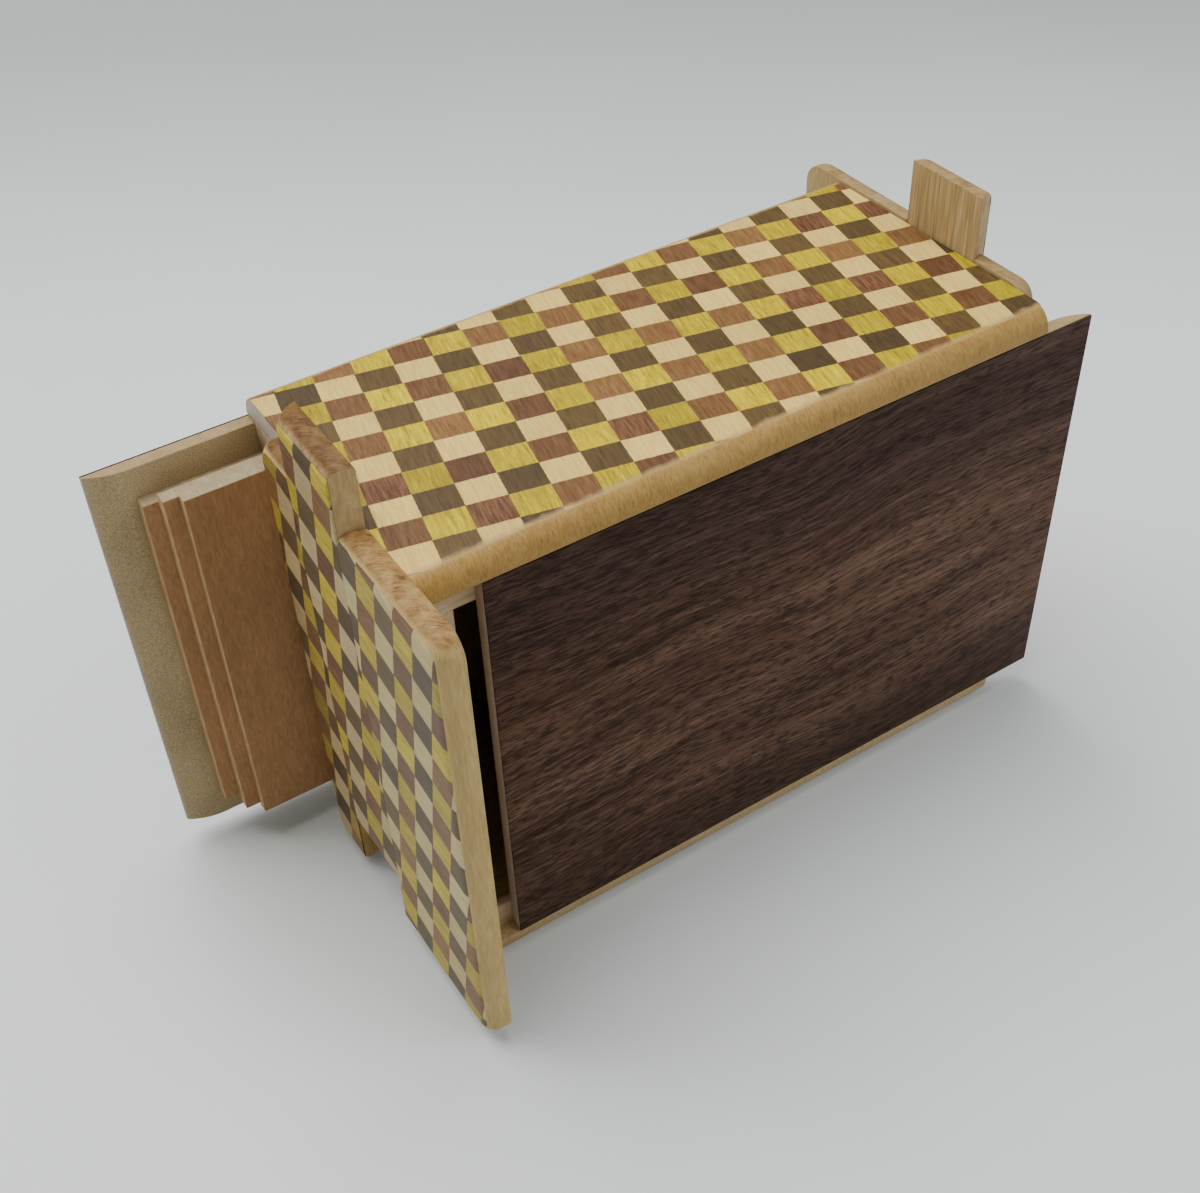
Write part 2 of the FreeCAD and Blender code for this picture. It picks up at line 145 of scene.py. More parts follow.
def add_area_light(name, place, width, power, tint):
    """A square soft light at a place, aimed at the lower middle of the box."""
    bpy.ops.object.light_add(type="AREA", location=place)
    lamp = bpy.context.object
    lamp.name = name
    lamp.data.size = width
    lamp.data.energy = power
    lamp.data.color = tint
    direction = [a - p for a, p in zip(AIM, place)]
    lamp.rotation_euler = (
        math.atan2(math.hypot(direction[0], direction[1]), -direction[2]),
        0.0,
        math.atan2(-direction[0], direction[1]),
    )


add_area_light("ceiling_light", (-0.1, 0.28, 0.9), 0.8, 12.5, (1.0, 0.99, 0.97))
add_area_light("fill_light", (0.7, -0.8, 0.9), 0.9, 7.0, (0.97, 0.98, 1.0))
add_area_light("window_light", (-0.9, 0.75, 0.5), 0.6, 3.4, (0.97, 0.98, 1.0))
room = bpy.data.worlds.new("room")
bpy.context.scene.world = room
room.use_nodes = True
sky = room.node_tree.nodes["Background"]
sky.inputs["Color"].default_value = ROOM_TINT
sky.inputs["Strength"].default_value = ROOM_STRENGTH

# The viewer stands over the near left corner and looks down along the box.
bpy.ops.object.camera_add(location=(-0.11657, -0.17304, 0.22255))
camera = bpy.context.object
camera.name = "camera"
camera.rotation_euler = [math.radians(a) for a in (47.987, 1.958, -32.977)]
camera.data.sensor_width = 36.0
camera.data.lens = 48.26
bpy.context.scene.camera = camera

# ---------------------------------------------------------------- side boards
# Two long boards of a pale golden hardwood. Their long edges are rounded over by sanding, which
# leaves the fibres running across the edge, and the end grain shows pale at both ends.
SIDE_EDGE = 0.22 * MM
SHARP = math.radians(50)  # edges sharper than this are broken with a stroke of sandpaper
END_PATCH = (1.9, 2.6, 2.6)  # mm, the size of the cloudy patches on a sawn face
FACE_FROM, FACE_TO = 0.5, 0.8  # how squarely a face must lie across an axis to show its cut
WOOD_SHEEN = 0.3


def ease_edges(node, body, width):
    """Stand a copy of a CAD piece in its place, merged and with its sharp edges just broken."""
    bpy.ops.object.select_all(action="DESELECT")
    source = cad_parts[node]
    piece = source.copy()
    piece.data = source.data.copy()
    bpy.context.collection.objects.link(piece)
    piece.name = node + "_finished"
    piece.select_set(True)
    bpy.context.view_layer.objects.active = piece
    bpy.ops.object.mode_set(mode="EDIT")
    bpy.ops.mesh.select_all(action="SELECT")
    bpy.ops.mesh.remove_doubles(threshold=0.001 * MM)
    bpy.ops.mesh.dissolve_limited(angle_limit=math.radians(1.0))
    bpy.ops.object.mode_set(mode="OBJECT")
    edge = piece.modifiers.new("broken_edge", "BEVEL")
    edge.width = width
    edge.segments = 2
    edge.limit_method = "ANGLE"
    edge.angle_limit = SHARP
    edge.use_clamp_overlap = True
    bpy.ops.object.modifier_apply(modifier=edge.name)
    bpy.ops.object.shade_smooth_by_angle(angle=math.radians(35))
    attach(piece, body)
    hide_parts(node)
    return piece


def dress(piece, material):
    """Give a piece its one finish."""
    piece.data.materials.clear()
    piece.data.materials.append(material)


def millimetres(material):
    """A piece's own coordinates in millimetres, whole and split."""
    source = add_node(material, "ShaderNodeTexCoord").outputs["Object"]
    scaled = add_node(
        material, "ShaderNodeVectorMath", {0: source, 1: (1 / MM, 1 / MM, 1 / MM)},
        operation="MULTIPLY",
    ).outputs["Vector"]
    return scaled, add_node(material, "ShaderNodeSeparateXYZ", {"Vector": scaled}).outputs


def fibre(material, place, pitch, detail=3.0, seed=0.0, roughness=0.55):
    """Noise stretched along the grain: pitch is the fibre's size in millimetres on each axis."""
    squeezed = add_node(
        material, "ShaderNodeVectorMath",
        {0: place, 1: tuple(1.0 / p for p in pitch)}, operation="MULTIPLY",
    )
    moved = add_node(
        material, "ShaderNodeVectorMath",
        {0: squeezed.outputs["Vector"], 1: (seed, seed * 0.7, seed * 1.3)}, operation="ADD",
    )
    noise = add_node(
        material, "ShaderNodeTexNoise",
        {"Vector": moved.outputs["Vector"], "Scale": 1.0, "Detail": detail,
         "Roughness": roughness},
    )
    return noise.outputs["Fac"]


def blend_colours(material, share, first, second, blend="MIX"):
    """Mix two colours or two colour outputs by a share."""
    mix = add_node(material, "ShaderNodeMix", data_type="RGBA", blend_type=blend)
    for socket, value in ((0, share), (6, first), (7, second)):
        if isinstance(value, bpy.types.NodeSocket):
            material.node_tree.links.new(value, mix.inputs[socket])
        else:
            mix.inputs[socket].default_value = value
    return mix.outputs[2]


def ramp(material, share, stops):
    """A colour picked by a share along stops of hex colours."""
    return add_node(
        material, "ShaderNodeValToRGB", {"Fac": share},
        stops=[(place, linear(code)) for place, code in stops],
    ).outputs["Color"]


def calc(material, operation, *values):
    """One sum on numbers or number outputs."""
    return add_node(
        material, "ShaderNodeMath", dict(enumerate(values)), operation=operation
    ).outputs["Value"]


def turn_by(material, place, degrees):
    """Turn a pattern about one or more axes, in degrees."""
    return add_node(
        material, "ShaderNodeMapping",
        {"Vector": place, "Rotation": tuple(math.radians(d) for d in degrees)},
    ).outputs["Vector"]


def wood(name, pitch, stops, mottle_pitch=(9.0, 9.0, 9.0), mottle_share=0.35, depth=0.02,
         roughness=(0.5, 0.68), faces=()):
    """A plain wood: fibres of a pitch along the grain over slow mottling.

    Each entry of faces gives the faces across one axis their own look: the axis, how the pattern
    is turned, its pitch and its colours, such as an end grain.
    """
    material, output = new_material(name)
    place = millimetres(material)[0]
    fine = fibre(material, place, pitch, detail=5.0)
    slow = fibre(material, place, mottle_pitch, detail=2.0, seed=7.3)
    share = calc(material, "ADD", calc(material, "MULTIPLY", slow, mottle_share),
                 calc(material, "MULTIPLY", fine, 1.0 - mottle_share))
    colour = ramp(material, share, stops)
    outward = add_node(material, "ShaderNodeTexCoord").outputs["Normal"]
    facing = add_node(material, "ShaderNodeSeparateXYZ", {"Vector": outward}).outputs
    for axis, turn, face_pitch, face_stops in faces:
        streaks = fibre(material, turn_by(material, place, turn), face_pitch, detail=5.0, seed=2.1,
                        roughness=0.65)
        patches = fibre(material, place, END_PATCH, detail=5.0, seed=5.7, roughness=0.6)
        swirl = calc(material, "ADD", calc(material, "MULTIPLY", streaks, 0.5),
                     calc(material, "MULTIPLY", patches, 0.5))
        face_colour = ramp(material, swirl, face_stops)
        mask = add_node(
            material, "ShaderNodeMapRange",
            {"Value": calc(material, "ABSOLUTE", facing[axis]),
             "From Min": FACE_FROM, "From Max": FACE_TO},
            interpolation_type="SMOOTHSTEP",
        ).outputs["Result"]
        colour = blend_colours(material, mask, colour, face_colour)
    gloss = add_node(
        material, "ShaderNodeMapRange",
        {"Value": share, "To Min": roughness[1], "To Max": roughness[0]},
    ).outputs["Result"]
    return finish_material(material, output, colour, gloss, height=fine, depth=depth * MM,
                           Specular_IOR_Level=WOOD_SHEEN)


# Sanded hardwood: satin, with short hair-fine fibres across the rounded edge and greyer, cloudy
# end grain. Both boards are the one golden wood; the lower one is painted paler and sandier as
# painted light on its rounded edge.
end_fibres = [(0.3, "8F8376"), (0.5, "A89C8C"), (0.7, "BDB2A2")]
for name, finish, tones in (
    ("side_board_top", "sanded_golden_hardwood", ("7E5E2B", "9F7A3C", "AD8B49", "BB9C5A")),
    # The lower board: the same wood, painted paler and sandier as painted light.
    ("side_board_bottom", "golden_hardwood_painted_paler", ("8F7650", "A98E62", "B79E72", "C6AE84")),
):
    edge_wood = wood(
        finish, (0.22, 1.1, 1.1), list(zip((0.3, 0.45, 0.6, 0.75), tones)),
        mottle_pitch=(6.0, 3.0, 3.0), mottle_share=0.25,
        faces=((0, (0, 0, 0), (0.6, 0.9, 0.35), end_fibres),),
    )
    dress(ease_edges(name, "case", SIDE_EDGE), edge_wood)

# ---------------------------------------------------------------- check veneer
# A sheet shaved from a block of four woods glued in a check: cream, dark olive brown, red brown
# and yellow. The grain of every stick runs the same way, and rows sit a hair out of line.
CELL = (6.196, 5.318)  # mm, one stick of the side sheets
FRAY_PITCH = 1.6  # waves in each millimetre of a stick's cut edge
FRAY = (0.22, 0.22, 0.0)  # mm, how far that edge wanders
ROW_SLIP = 0.07  # in cells
COLUMN_SLIP = 0.06
FIBRE_PITCH = (0.42, 4.0, 1.0)  # mm
HAIR_PITCH = (0.13, 1.4, 1.0)
STREAK_SHARE = 0.7
STICK_SHIFT = (40.0, 40.0, 40.0)  # mm, how far apart in their logs two sticks may be cut
COLUMN_SEED = 31.0
HEART_SHARE = 0.2  # of the brown sticks
HEART_STRENGTH = 0.75
CREAM_STICK_REACH = 0.16  # how much lighter or darker one stick is than its like
DARK_STICK_REACH = 0.4  # added to that for the other three woods
MIDDLE_TONE = 0.45
GLUE_LINE = 0.12  # mm
SEAM_DEPTH = 0.30
SHEET_RELIEF = 0.018 * MM
MATT, SATIN = 0.56, 0.42
WORN_FROM = 24.6  # mm from the middle line, where sanding begins to go through the sheet
WORN_START, WORN_END = 0.2, 1.2  # mm beyond that
WORN_RAGGED = 1.3  # mm by which that margin wanders
WORN_WAVES = 0.5  # in each millimetre
# Painted sheen: a pale grey haze mixed into a sheet in place of the gloss it shows.
SHEEN_HAZE_GREY = "AEA48C"
GLUE = "6B5233"
BARE_CORE = "B1915A"


def check_veneer(name, plane, turn, cell, start, painted_sheen=0.0, tint="FFFFFF", worn=None,
                 creams=("C29E50", "D5B563", "E2C678"),
                 yellows=("846E00", "AA9300", "B8A200", "D2BF18")):
    """The check in one plane: its turn, its cell and its start in cells.

    It may carry a painted sheen, a grey haze that stands in for gloss, and a tint that stands in
    for the light on it, be worn through beyond a distance from the middle, and have cream and
    yellow sticks of its own.
    """
    material, output = new_material(name)
    split = millimetres(material)[1]
    flat = add_node(
        material, "ShaderNodeCombineXYZ",
        {"X": calc(material, "MULTIPLY", split[plane[0][0]], plane[0][1]),
         "Y": calc(material, "MULTIPLY", split[plane[1][0]], plane[1][1])},
    ).outputs["Vector"]
    frayed = add_node(
        material, "ShaderNodeTexNoise", {"Vector": flat, "Scale": FRAY_PITCH, "Detail": 3.0},
    ).outputs["Color"]
    frayed = add_node(material, "ShaderNodeVectorMath", {0: frayed, 1: FRAY, 2: flat},
                      operation="MULTIPLY_ADD").outputs["Vector"]
    turned = turn_by(material, frayed, (0.0, 0.0, -turn))
    counted = add_node(
        material, "ShaderNodeVectorMath",
        {0: add_node(material, "ShaderNodeVectorMath",
                     {0: turned, 1: (cell[0], cell[1], 1.0)}, operation="DIVIDE").outputs["Vector"],
         1: (start[0], start[1], 0.0)}, operation="SUBTRACT",
    ).outputs["Vector"]
    counts = add_node(material, "ShaderNodeSeparateXYZ", {"Vector": counted}).outputs

    # Rows and columns sit slightly out of line, each by its own amount.
    row_slip = add_node(
        material, "ShaderNodeTexWhiteNoise", {"W": calc(material, "FLOOR", counts["Y"])},
        noise_dimensions="1D",
    ).outputs["Value"]
    across = calc(material, "MULTIPLY_ADD", row_slip, ROW_SLIP, counts["X"])
    column_slip = add_node(
        material, "ShaderNodeTexWhiteNoise",
        {"W": calc(material, "ADD", calc(material, "FLOOR", across), COLUMN_SEED)},
        noise_dimensions="1D",
    ).outputs["Value"]
    along = calc(material, "MULTIPLY_ADD", column_slip, COLUMN_SLIP, counts["Y"])
    column = calc(material, "FLOOR", across)
    row = calc(material, "FLOOR", along)
    odd_column = calc(material, "FLOORED_MODULO", column, 2.0)
    odd_row = calc(material, "FLOORED_MODULO", row, 2.0)
    cell_key = add_node(material, "ShaderNodeCombineXYZ", {"X": column, "Y": row}).outputs["Vector"]
    chance = add_node(material, "ShaderNodeTexWhiteNoise", {"Vector": cell_key},
                      noise_dimensions="2D")

    # The sticks' fibres run along the short side of the cells, each cell from its own stick.
    moved = add_node(
        material, "ShaderNodeVectorMath",
        {0: turned, 1: add_node(material, "ShaderNodeVectorMath",
                                {0: chance.outputs["Color"], 1: STICK_SHIFT},
                                operation="MULTIPLY").outputs["Vector"]}, operation="ADD",
    ).outputs["Vector"]
    streak = fibre(material, moved, FIBRE_PITCH, detail=4.0)
    hair = fibre(material, moved, HAIR_PITCH, detail=2.0, seed=4.0)
    grain = calc(material, "ADD", calc(material, "MULTIPLY", streak, STREAK_SHARE),
                 calc(material, "MULTIPLY", hair, 1.0 - STREAK_SHARE))
    cream = ramp(material, grain, list(zip((0.3, 0.5, 0.7), creams)))
    olive = ramp(material, grain, [(0.32, "3A290F"), (0.5, "4F3C1A"), (0.68, "5B4721")])
    red_brown = ramp(material, grain, [(0.32, "4B250D"), (0.5, "633E20"), (0.68, "725030")])
    tan_brown = ramp(material, grain, [(0.32, "644116"), (0.5, "775428"), (0.68, "8A693C")])
    log = add_node(material, "ShaderNodeSeparateXYZ", {"Vector": chance.outputs["Color"]}).outputs
    brown = blend_colours(material, log["X"], red_brown, tan_brown)
    yellow = ramp(material, grain, list(zip((0.34, 0.47, 0.57, 0.68), yellows)))

    # A few brown sticks are from the dark heart of the log, with near-black streaks.
    heart = ramp(material, streak, [(0.4, "37190D"), (0.52, "57321F"), (0.65, "62412A")])
    rare = calc(material, "GREATER_THAN", chance.outputs["Value"], 1.0 - HEART_SHARE)
    brown = blend_colours(material, calc(material, "MULTIPLY", rare, HEART_STRENGTH), brown, heart)
    even_row = blend_colours(material, odd_column, cream, olive)
    other_row = blend_colours(material, odd_column, brown, yellow)
    colour = blend_colours(material, odd_row, even_row, other_row)

    # Each stick is a little lighter or darker than its like, the cream ones least.
    coloured = calc(material, "MAXIMUM", odd_row, odd_column)
    reach = calc(material, "MULTIPLY_ADD", coloured, DARK_STICK_REACH, CREAM_STICK_REACH)
    swing = calc(material, "SUBTRACT", chance.outputs["Value"], MIDDLE_TONE)
    tone = calc(material, "MULTIPLY_ADD", swing, reach, 1.0)
    toned = add_node(material, "ShaderNodeVectorMath", {0: colour, "Scale": tone},
                     operation="SCALE").outputs["Vector"]
    # Painted light: a tint over the whole sheet, then a grey haze as painted sheen.
    toned = blend_colours(material, 1.0, toned, linear(tint), "MULTIPLY")
    toned = blend_colours(material, painted_sheen, toned, linear(SHEEN_HAZE_GREY))

    # Glue lines: a hair of darker tone where two sticks meet.
    edges = []
    for place_in_cell, size in ((across, cell[0]), (along, cell[1])):
        part = calc(material, "FRACT", place_in_cell)
        nearest = calc(material, "MINIMUM", part, calc(material, "SUBTRACT", 1.0, part))
        edges.append(calc(material, "MULTIPLY", nearest, size))
    seam = add_node(
        material, "ShaderNodeMapRange",
        {"Value": calc(material, "MINIMUM", *edges), "From Max": GLUE_LINE,
         "To Min": SEAM_DEPTH, "To Max": 0.0},
    ).outputs["Result"]
    colour = blend_colours(material, seam, toned, linear(GLUE))
    if worn:
        ragged = add_node(
            material, "ShaderNodeTexNoise", {"Vector": flat, "Scale": WORN_WAVES, "Detail": 3.0},
        ).outputs["Fac"]
        bare = add_node(
            material, "ShaderNodeMapRange",
            {"Value": calc(material, "MULTIPLY_ADD", ragged, WORN_RAGGED,
                           calc(material, "ABSOLUTE", split["Y"])),
             "From Min": worn + WORN_START, "From Max": worn + WORN_END},
        ).outputs["Result"]
        colour = blend_colours(material, bare, colour, linear(BARE_CORE))
    gloss = add_node(
        material, "ShaderNodeMapRange", {"Value": grain, "To Min": MATT, "To Max": SATIN},
    ).outputs["Result"]
    return finish_material(material, output, colour, gloss, height=grain, depth=SHEET_RELIEF,
                           Specular_IOR_Level=WOOD_SHEEN)


# Shaved check sheet, oiled: a low satin sheen, every stick its own tone, and a soft worn margin
# where the pale board shows through along the rounded edges.
for level, plane, turn, start in (
    ("top", ((0, 1.0), (1, 1.0)), -12.16, (1.909, 1.320)),
    ("bottom", ((0, 1.0), (1, -1.0)), -12.1, (0.4, 0.7)),
):
    check = check_veneer("check_veneer_" + level, plane, turn, CELL, start, worn=WORN_FROM)
    dress(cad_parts["side_veneer_" + level], check)

# ---------------------------------------------------------------- inner frame of the case
# Rails, wall liners and end walls are strips of a plain light brown wood, left unvarnished, with
# the grain along their length. The compartment floor is thin fibreboard.
STRIP_EDGE = 0.15 * MM
BOARD_EDGE = 0.12 * MM
SMALL_EDGE = 0.1 * MM

# Planed light brown softwood, bare: matt, with fine fibres along the strip and duller sawn ends.
frame_wood = wood(
    "plain_light_brown_wood", (6.0, 0.45, 0.45),
    [(0.3, "A58B69"), (0.5, "BDA582"), (0.7, "CFB99A")], roughness=(0.6, 0.75),
    faces=((0, (0, 0, 0), (0.7, 0.5, 0.5), [(0.3, "8C7657"), (0.55, "A3906F"), (0.75, "B8A684")]),),
)

# The same wood cut with its grain from the lid to the base panel: matt, fine fibres that way.
wall_wood = wood(
    "plain_wall_wood", (0.45, 5.0, 0.45),
    [(0.3, "A08766"), (0.5, "B9A17D"), (0.7, "CBB596")], roughness=(0.6, 0.75),
)

# Pressed fibreboard: a matt felt of specks with no grain, greyer on its cut ends. The fibres are
# hair fine, so they are drawn a quarter of a millimetre wide to show at all.
fibreboard = wood(
    "fine_fibreboard", (0.26, 0.26, 0.26),
    [(0.34, "826F4A"), (0.5, "A58F67"), (0.66, "C0AA80")], mottle_pitch=(14.0, 14.0, 14.0),
    mottle_share=0.25, roughness=(0.6, 0.75), depth=0.008,
    faces=((0, (0, 0, 0), (0.5, 0.35, 0.5), [(0.35, "A0938C"), (0.5, "B0A49F"), (0.65, "BCB2AF")]),
           (2, (0, 0, 0), (0.5, 0.35, 0.5), [(0.3, "8B744D"), (0.5, "A0885E"), (0.7, "AE976C")]),),
)
for part in ("lid_rail", "base_rail", "wall_liner"):
    for level in ("top", "bottom"):
        strip = ease_edges("%s_%s" % (part, level), "case", STRIP_EDGE)
        dress(strip, frame_wood)
for side in ("left", "right"):
    dress(ease_edges("end_wall_" + side, "case", STRIP_EDGE), wall_wood)
dress(ease_edges("compartment_floor", "case", SMALL_EDGE), fibreboard)

# Turned birch dowel: pale and smooth, with its fibres along it.
pin_wood = wood("pin_dowel", (0.3, 2.0, 0.3), [(0.3, "B99C68"), (0.7, "D3BA88")])
dress(ease_edges("base_stop_pin", "case", SMALL_EDGE), pin_wood)

# ---------------------------------------------------------------- lid and base panel
# Thin fibreboards faced with walnut veneer. The walnut is straight grained, dark purple brown,
# with short dark pores in drifts. Behind each board sit the plain layers that run in the grooves.
WAVE = (46.0, 60.0, 60.0)  # mm, the slow sway of the grain
BANDS = (70.0, 30.0, 4.5)
FIBRES = (5.6, 2.0, 0.6)
LINES = (26.0, 4.0, 0.5)
DRIFTS = (16.0, 9.0, 2.6)
PORES = (3.0, 1.0, 0.46)
BAND_SHARE, FIBRE_SHARE, LINE_SHARE = 0.36, 0.37, 0.27
PURPLE_FROM, PURPLE_TO = 60.0, 84.0  # mm of height
PURPLE_SLOPE, PURPLE_SWAY = 0.04, 22.0
PURPLE_CAST = "A49CAC"
DARK_FROM, DARK_TO = 14.0, -6.0
DARK_SLOPE, DARK_SWAY = -0.1, -16.0
DARK_CAST = "A89C96"
HEART_DEPTH = 0.8
PORE_SLOPE = -0.0016  # pores grow more common along the board
PORE_RARE, PORE_THICK = 0.66, 0.38
PORE_RIM = (-0.02, 0.06)
PORE_DEPTH = 0.65
PORE_BROWN = "1C100C"
WALNUT_MATT, WALNUT_SATIN = 0.85, 0.68
WALNUT_SHEEN = 0.2
WALNUT_RELIEF = 0.03 * MM
VENEER_EDGE = 0.08 * MM
LAYER_EDGE = 0.18 * MM


def walnut(name, slope, sway):
    """Walnut veneer in the XZ plane: its grain's slope in degrees and how far it sways."""
    material, output = new_material(name)
    place, split = millimetres(material)
    turned = turn_by(material, place, (0.0, slope, 0.0))
    wave = fibre(material, turned, WAVE, detail=1.0, seed=3.0)
    bend = add_node(
        material, "ShaderNodeCombineXYZ",
        {"Z": calc(material, "MULTIPLY", calc(material, "SUBTRACT", wave, 0.5), sway)},
    ).outputs["Vector"]
    grown = add_node(material, "ShaderNodeVectorMath", {0: turned, 1: bend},
                     operation="ADD").outputs["Vector"]
    bands = fibre(material, grown, BANDS, detail=5.0, seed=1.0, roughness=0.6)
    fibres = fibre(material, grown, FIBRES, detail=5.0, seed=5.0, roughness=0.75)
    lines = fibre(material, grown, LINES, detail=3.0, seed=15.0)
    drifts = fibre(material, grown, DRIFTS, detail=3.0, seed=9.0)
    pores = fibre(material, grown, PORES, detail=3.0, seed=12.0, roughness=0.55)
    tone = calc(material, "ADD", calc(material, "MULTIPLY", bands, BAND_SHARE),
                calc(material, "ADD", calc(material, "MULTIPLY", fibres, FIBRE_SHARE),
                     calc(material, "MULTIPLY", lines, LINE_SHARE)))

    # The top edge and the lower far corner are darker heartwood, the first with a purple cast.
    purple = add_node(
        material, "ShaderNodeMapRange",
        {"Value": calc(material, "MULTIPLY_ADD", split["X"], PURPLE_SLOPE,
                       calc(material, "MULTIPLY_ADD", bands, PURPLE_SWAY, split["Z"])),
         "From Min": PURPLE_FROM, "From Max": PURPLE_TO}, interpolation_type="SMOOTHSTEP",
    ).outputs["Result"]
    low_dark = add_node(
        material, "ShaderNodeMapRange",
        {"Value": calc(material, "MULTIPLY_ADD", split["X"], DARK_SLOPE,
                       calc(material, "MULTIPLY_ADD", bands, DARK_SWAY, split["Z"])),
         "From Min": DARK_FROM, "From Max": DARK_TO}, interpolation_type="SMOOTHSTEP",
    ).outputs["Result"]
    base = ramp(material, tone,
                [(0.36, "2F1D13"), (0.46, "4F3627"), (0.54, "674B3B"), (0.66, "876955")])
    base = blend_colours(material, calc(material, "MULTIPLY", purple, HEART_DEPTH), base,
                         blend_colours(material, 1.0, base, linear(PURPLE_CAST), "MULTIPLY"))
    base = blend_colours(material, calc(material, "MULTIPLY", low_dark, HEART_DEPTH), base,
                         blend_colours(material, 1.0, base, linear(DARK_CAST), "MULTIPLY"))
    edge_of_pore = add_node(
        material, "ShaderNodeMapRange",
        {"Value": calc(material, "MULTIPLY_ADD", split["X"], PORE_SLOPE, drifts),
         "To Min": PORE_RARE, "To Max": PORE_THICK},
    ).outputs["Result"]
    pore = add_node(
        material, "ShaderNodeMapRange",
        {"Value": calc(material, "SUBTRACT", pores, edge_of_pore),
         "From Min": PORE_RIM[0], "From Max": PORE_RIM[1]},
    ).outputs["Result"]
    colour = blend_colours(material, calc(material, "MULTIPLY", pore, PORE_DEPTH), base,
                           linear(PORE_BROWN))
    relief = calc(material, "SUBTRACT", fibres, calc(material, "MULTIPLY", pore, 0.8))
    gloss = add_node(
        material, "ShaderNodeMapRange",
        {"Value": relief, "To Min": WALNUT_MATT, "To Max": WALNUT_SATIN},
    ).outputs["Result"]
    return finish_material(material, output, colour, gloss, height=relief, depth=WALNUT_RELIEF,
                           Specular_IOR_Level=WALNUT_SHEEN)


# Walnut veneer, barely oiled: dark, almost without gloss, the open pores darker than the wood.
lid_walnut = walnut("walnut_veneer_lid", 1.0, 9.0)
base_walnut = walnut("walnut_veneer_base", -2.0, 5.0)

# Warm brown sawn board: matt, upright fibres, with paler edges where it was cut.
block_wood = wood(
    "warm_brown_block_wood", (0.4, 0.4, 1.6),
    [(0.3, "8A613E"), (0.5, "9D7248"), (0.7, "B08457")], mottle_pitch=(6.0, 6.0, 24.0),
    roughness=(0.6, 0.75),
    faces=(
        (0, (0, 0, 0), (0.5, 0.5, 3.0), [(0.3, "9E7B50"), (0.5, "B18D60"), (0.7, "C09E70")]),
        (2, (0, 0, 0), (0.28, 1.6, 0.7), [(0.3, "87775B"), (0.5, "A1906F"), (0.7, "B7A583")]),
    ),
)
for group, body, skin in (("lid", "lid", lid_walnut), ("base", "base_panel", base_walnut)):
    dress(ease_edges(group + "_veneer", body, VENEER_EDGE), skin)
    dress(ease_edges(group + "_board", body, BOARD_EDGE), fibreboard)
for node, body in (
    ("lid_neck", "lid"),
    ("lid_tongue", "lid"),
    ("base_neck", "base_panel"),
    ("base_tongue", "base_panel"),
    ("base_cap", "base_panel"),
):
    dress(ease_edges(node, body, LAYER_EDGE), block_wood)

# ---------------------------------------------------------------- end panels
# Each end is three upright strips faced with one sheet of the check, cut through, so the check
# runs on from strip to strip when the box is closed. The middle strip is the dovetailed key.
UPRIGHT = (0.0, 0.0, 0.0)
ACROSS_CORNER = (0.0, 0.0, -45.0)  # degrees, the way the rings run over the sawn ends
RING_PITCH = (0.3, 1.9, 2.2)  # mm
FLANK_PITCH = (0.5, 0.5, 3.5)


def strip_wood(name, tones, ends):
    """Wood of an outer strip: upright fibres, and rings on its two sawn ends."""
    return wood(
        name, (0.4, 0.4, 3.0), list(zip((0.3, 0.5, 0.7), tones)), mottle_pitch=(10.0, 10.0, 16.0),
        faces=((2, ACROSS_CORNER, RING_PITCH, ends),),
    )


def key_stock(name, pitch, mottle_pitch, tones, ends, flanks):
    """Wood of a key: long upright fibres, rings on its sawn ends, and planed paler flanks."""
    return wood(
        name, pitch, list(zip((0.34, 0.46, 0.56, 0.68), tones)), mottle_pitch=mottle_pitch,
        faces=((2, ACROSS_CORNER, RING_PITCH, ends),
               (1, UPRIGHT, FLANK_PITCH, list(zip((0.34, 0.5, 0.66), flanks)))),
    )


# Sanded strip wood: satin, with fine upright fibres. The left strips are sandy with brown or dark
# brown rings on their ends; the right ones are the same wood painted a darker olive tan as painted
# shade, with paler ends.
brown_rings = [(0.37, "5F3E18"), (0.45, "876433"), (0.54, "9A7A47"), (0.64, "A98B58")]
dark_rings = [(0.36, "422508"), (0.45, "5F3E13"), (0.54, "725225"), (0.66, "836437")]
pale_rings = [(0.36, "755A30"), (0.45, "8F7447"), (0.54, "9C8357"), (0.66, "A89065")]
sandy_tones = ("A68952", "BA9D62", "CBB076")
panel_wood = strip_wood("sandy_panel_wood", sandy_tones, brown_rings)
narrow_wood = strip_wood("brown_topped_panel_wood", sandy_tones, dark_rings)
# Painted shade: the right strips' wood darkened all over, for the shade of the narrow gap they
# face.
right_wood_painted_shade = strip_wood("sandy_panel_wood_painted_darker", ("8D7446", "9F8653", "AF9862"), pale_rings)

# Planed key wood: tan, satin, with long straight fibres that show as upright streaks.
key_wood = key_stock(
    "tan_key_wood", (0.6, 0.6, 9.0), (2.2, 2.2, 30.0), ("7E6038", "987A4E", "A98C62", "BBA078"),
    dark_rings, ("9A7B4C", "B29461", "C2A776"),
)
right_key_wood = key_stock(
    "fine_grained_key_wood", (0.32, 0.32, 8.0), (1.3, 1.3, 26.0),
    ("876A3D", "9E8453", "AF9667", "C0A87C"), pale_rings, ("9A7B52", "B29469", "C2A77E"),
)

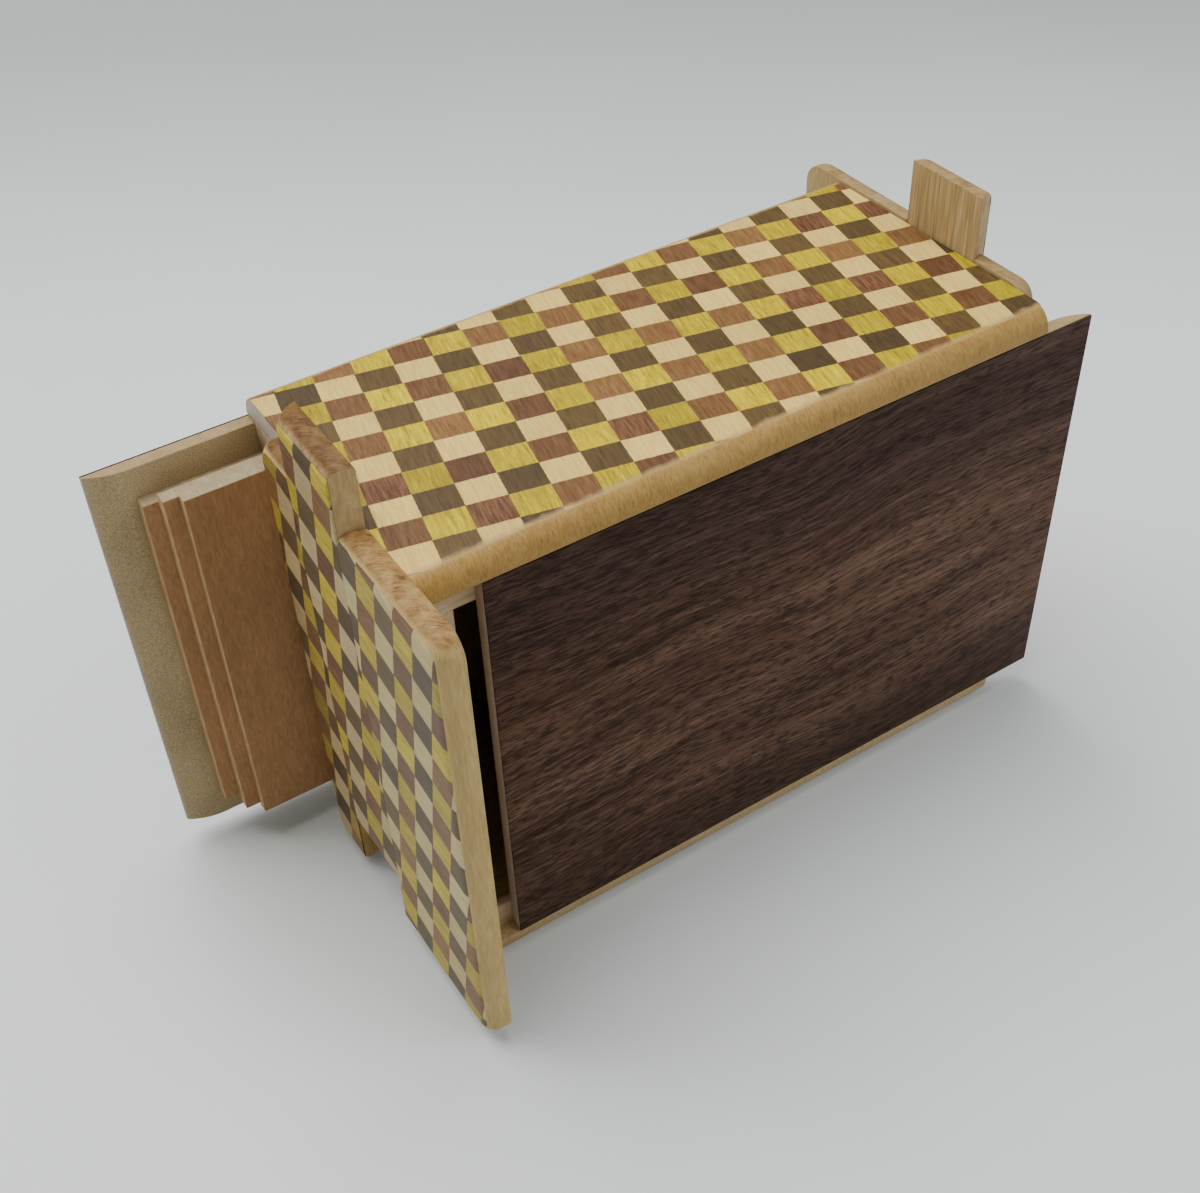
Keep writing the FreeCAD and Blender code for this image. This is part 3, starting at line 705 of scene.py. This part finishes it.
# The plane of each sheet, then the check's turn, cell and start on it.
LEFT_PLANE = ((2, 1.0), (1, -1.0))
RIGHT_PLANE = ((2, 1.0), (1, 1.0))
RIGHT_CELL = (6.07, 5.28)
end_checks = {
    "left_wide": (LEFT_PLANE, 11.97, (6.048, 5.193), (0.489, 1.207)),
    "left_key": (LEFT_PLANE, 11.90, (6.091, 5.396), (0.104, 0.972)),
    "left_narrow": (LEFT_PLANE, 11.51, (6.109, 5.296), (0.166, 1.697)),
    "right_wide": (RIGHT_PLANE, 12.0, RIGHT_CELL, (0.35, 0.6)),
    "right_key": (RIGHT_PLANE, 12.0, RIGHT_CELL, (1.90, 0.6)),
    "right_narrow": (RIGHT_PLANE, 12.0, RIGHT_CELL, (0.35, 0.6)),
}
woods = {
    "left_wide": panel_wood, "left_narrow": narrow_wood, "left_key": key_wood,
    "right_wide": right_wood_painted_shade, "right_narrow": right_wood_painted_shade, "right_key": right_key_wood,
}

# Shaved check sheet on the ends: the same four woods, painted greyer and darker than on the sides
# as painted shade and the cooler light on the ends. The wide strip gets a faint grey haze as
# painted sheen; each strip has its own painted light tint, darkest on the narrow one, and its own
# cream and yellow sticks, darker on the key and narrow strips as painted shade.
wide_creams = ("A9945B", "BAA970", "C6B987")
key_creams = ("9F885B", "AF9B6F", "BAA986")
wide_yellows = ("84700C", "A8931C", "B5A124", "CCBA36")
narrow_yellows = ("74651A", "927F28", "9F8C30", "B5A340")
# Per strip: painted sheen, painted light tint, cream sticks and yellow sticks.
painted_light_by_strip = {
    "wide": (0.045, "FFFCFA", wide_creams, wide_yellows),
    "narrow": (0.0, "F4E6D2", key_creams, narrow_yellows),
    "key": (0.0, "FFFAF2", key_creams, wide_yellows),
}
for side in ("left", "right"):
    for strip in ("wide", "narrow", "key"):
        name = "%s_%s" % (side, strip)
        body = side + ("_key_piece" if strip == "key" else "_panel")
        node = name if strip == "key" else name + "_strip"
        dress(ease_edges(node, body, STRIP_EDGE), woods[name])
        painted_sheen, tint, creams, yellows = painted_light_by_strip[strip]
        check = check_veneer("check_veneer_" + name, *end_checks[name], painted_sheen, tint,
                             creams=creams, yellows=yellows)
        dress(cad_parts[name + "_veneer"], check)

# ---------------------------------------------------------------- hidden cross-slides
# Inside each end a cleat joins the two outer strips, a grooved bar carries it along the wall's
# slot, and a peg stops the key. They are the same plain wood as the frame.
for side in ("left", "right"):
    dress(ease_edges(side + "_runner", side + "_runner", STRIP_EDGE), wall_wood)
    dress(ease_edges(side + "_cleat", side + "_panel", BOARD_EDGE), wall_wood)
    dress(ease_edges(side + "_key_stop", side + "_panel", SMALL_EDGE), pin_wood)
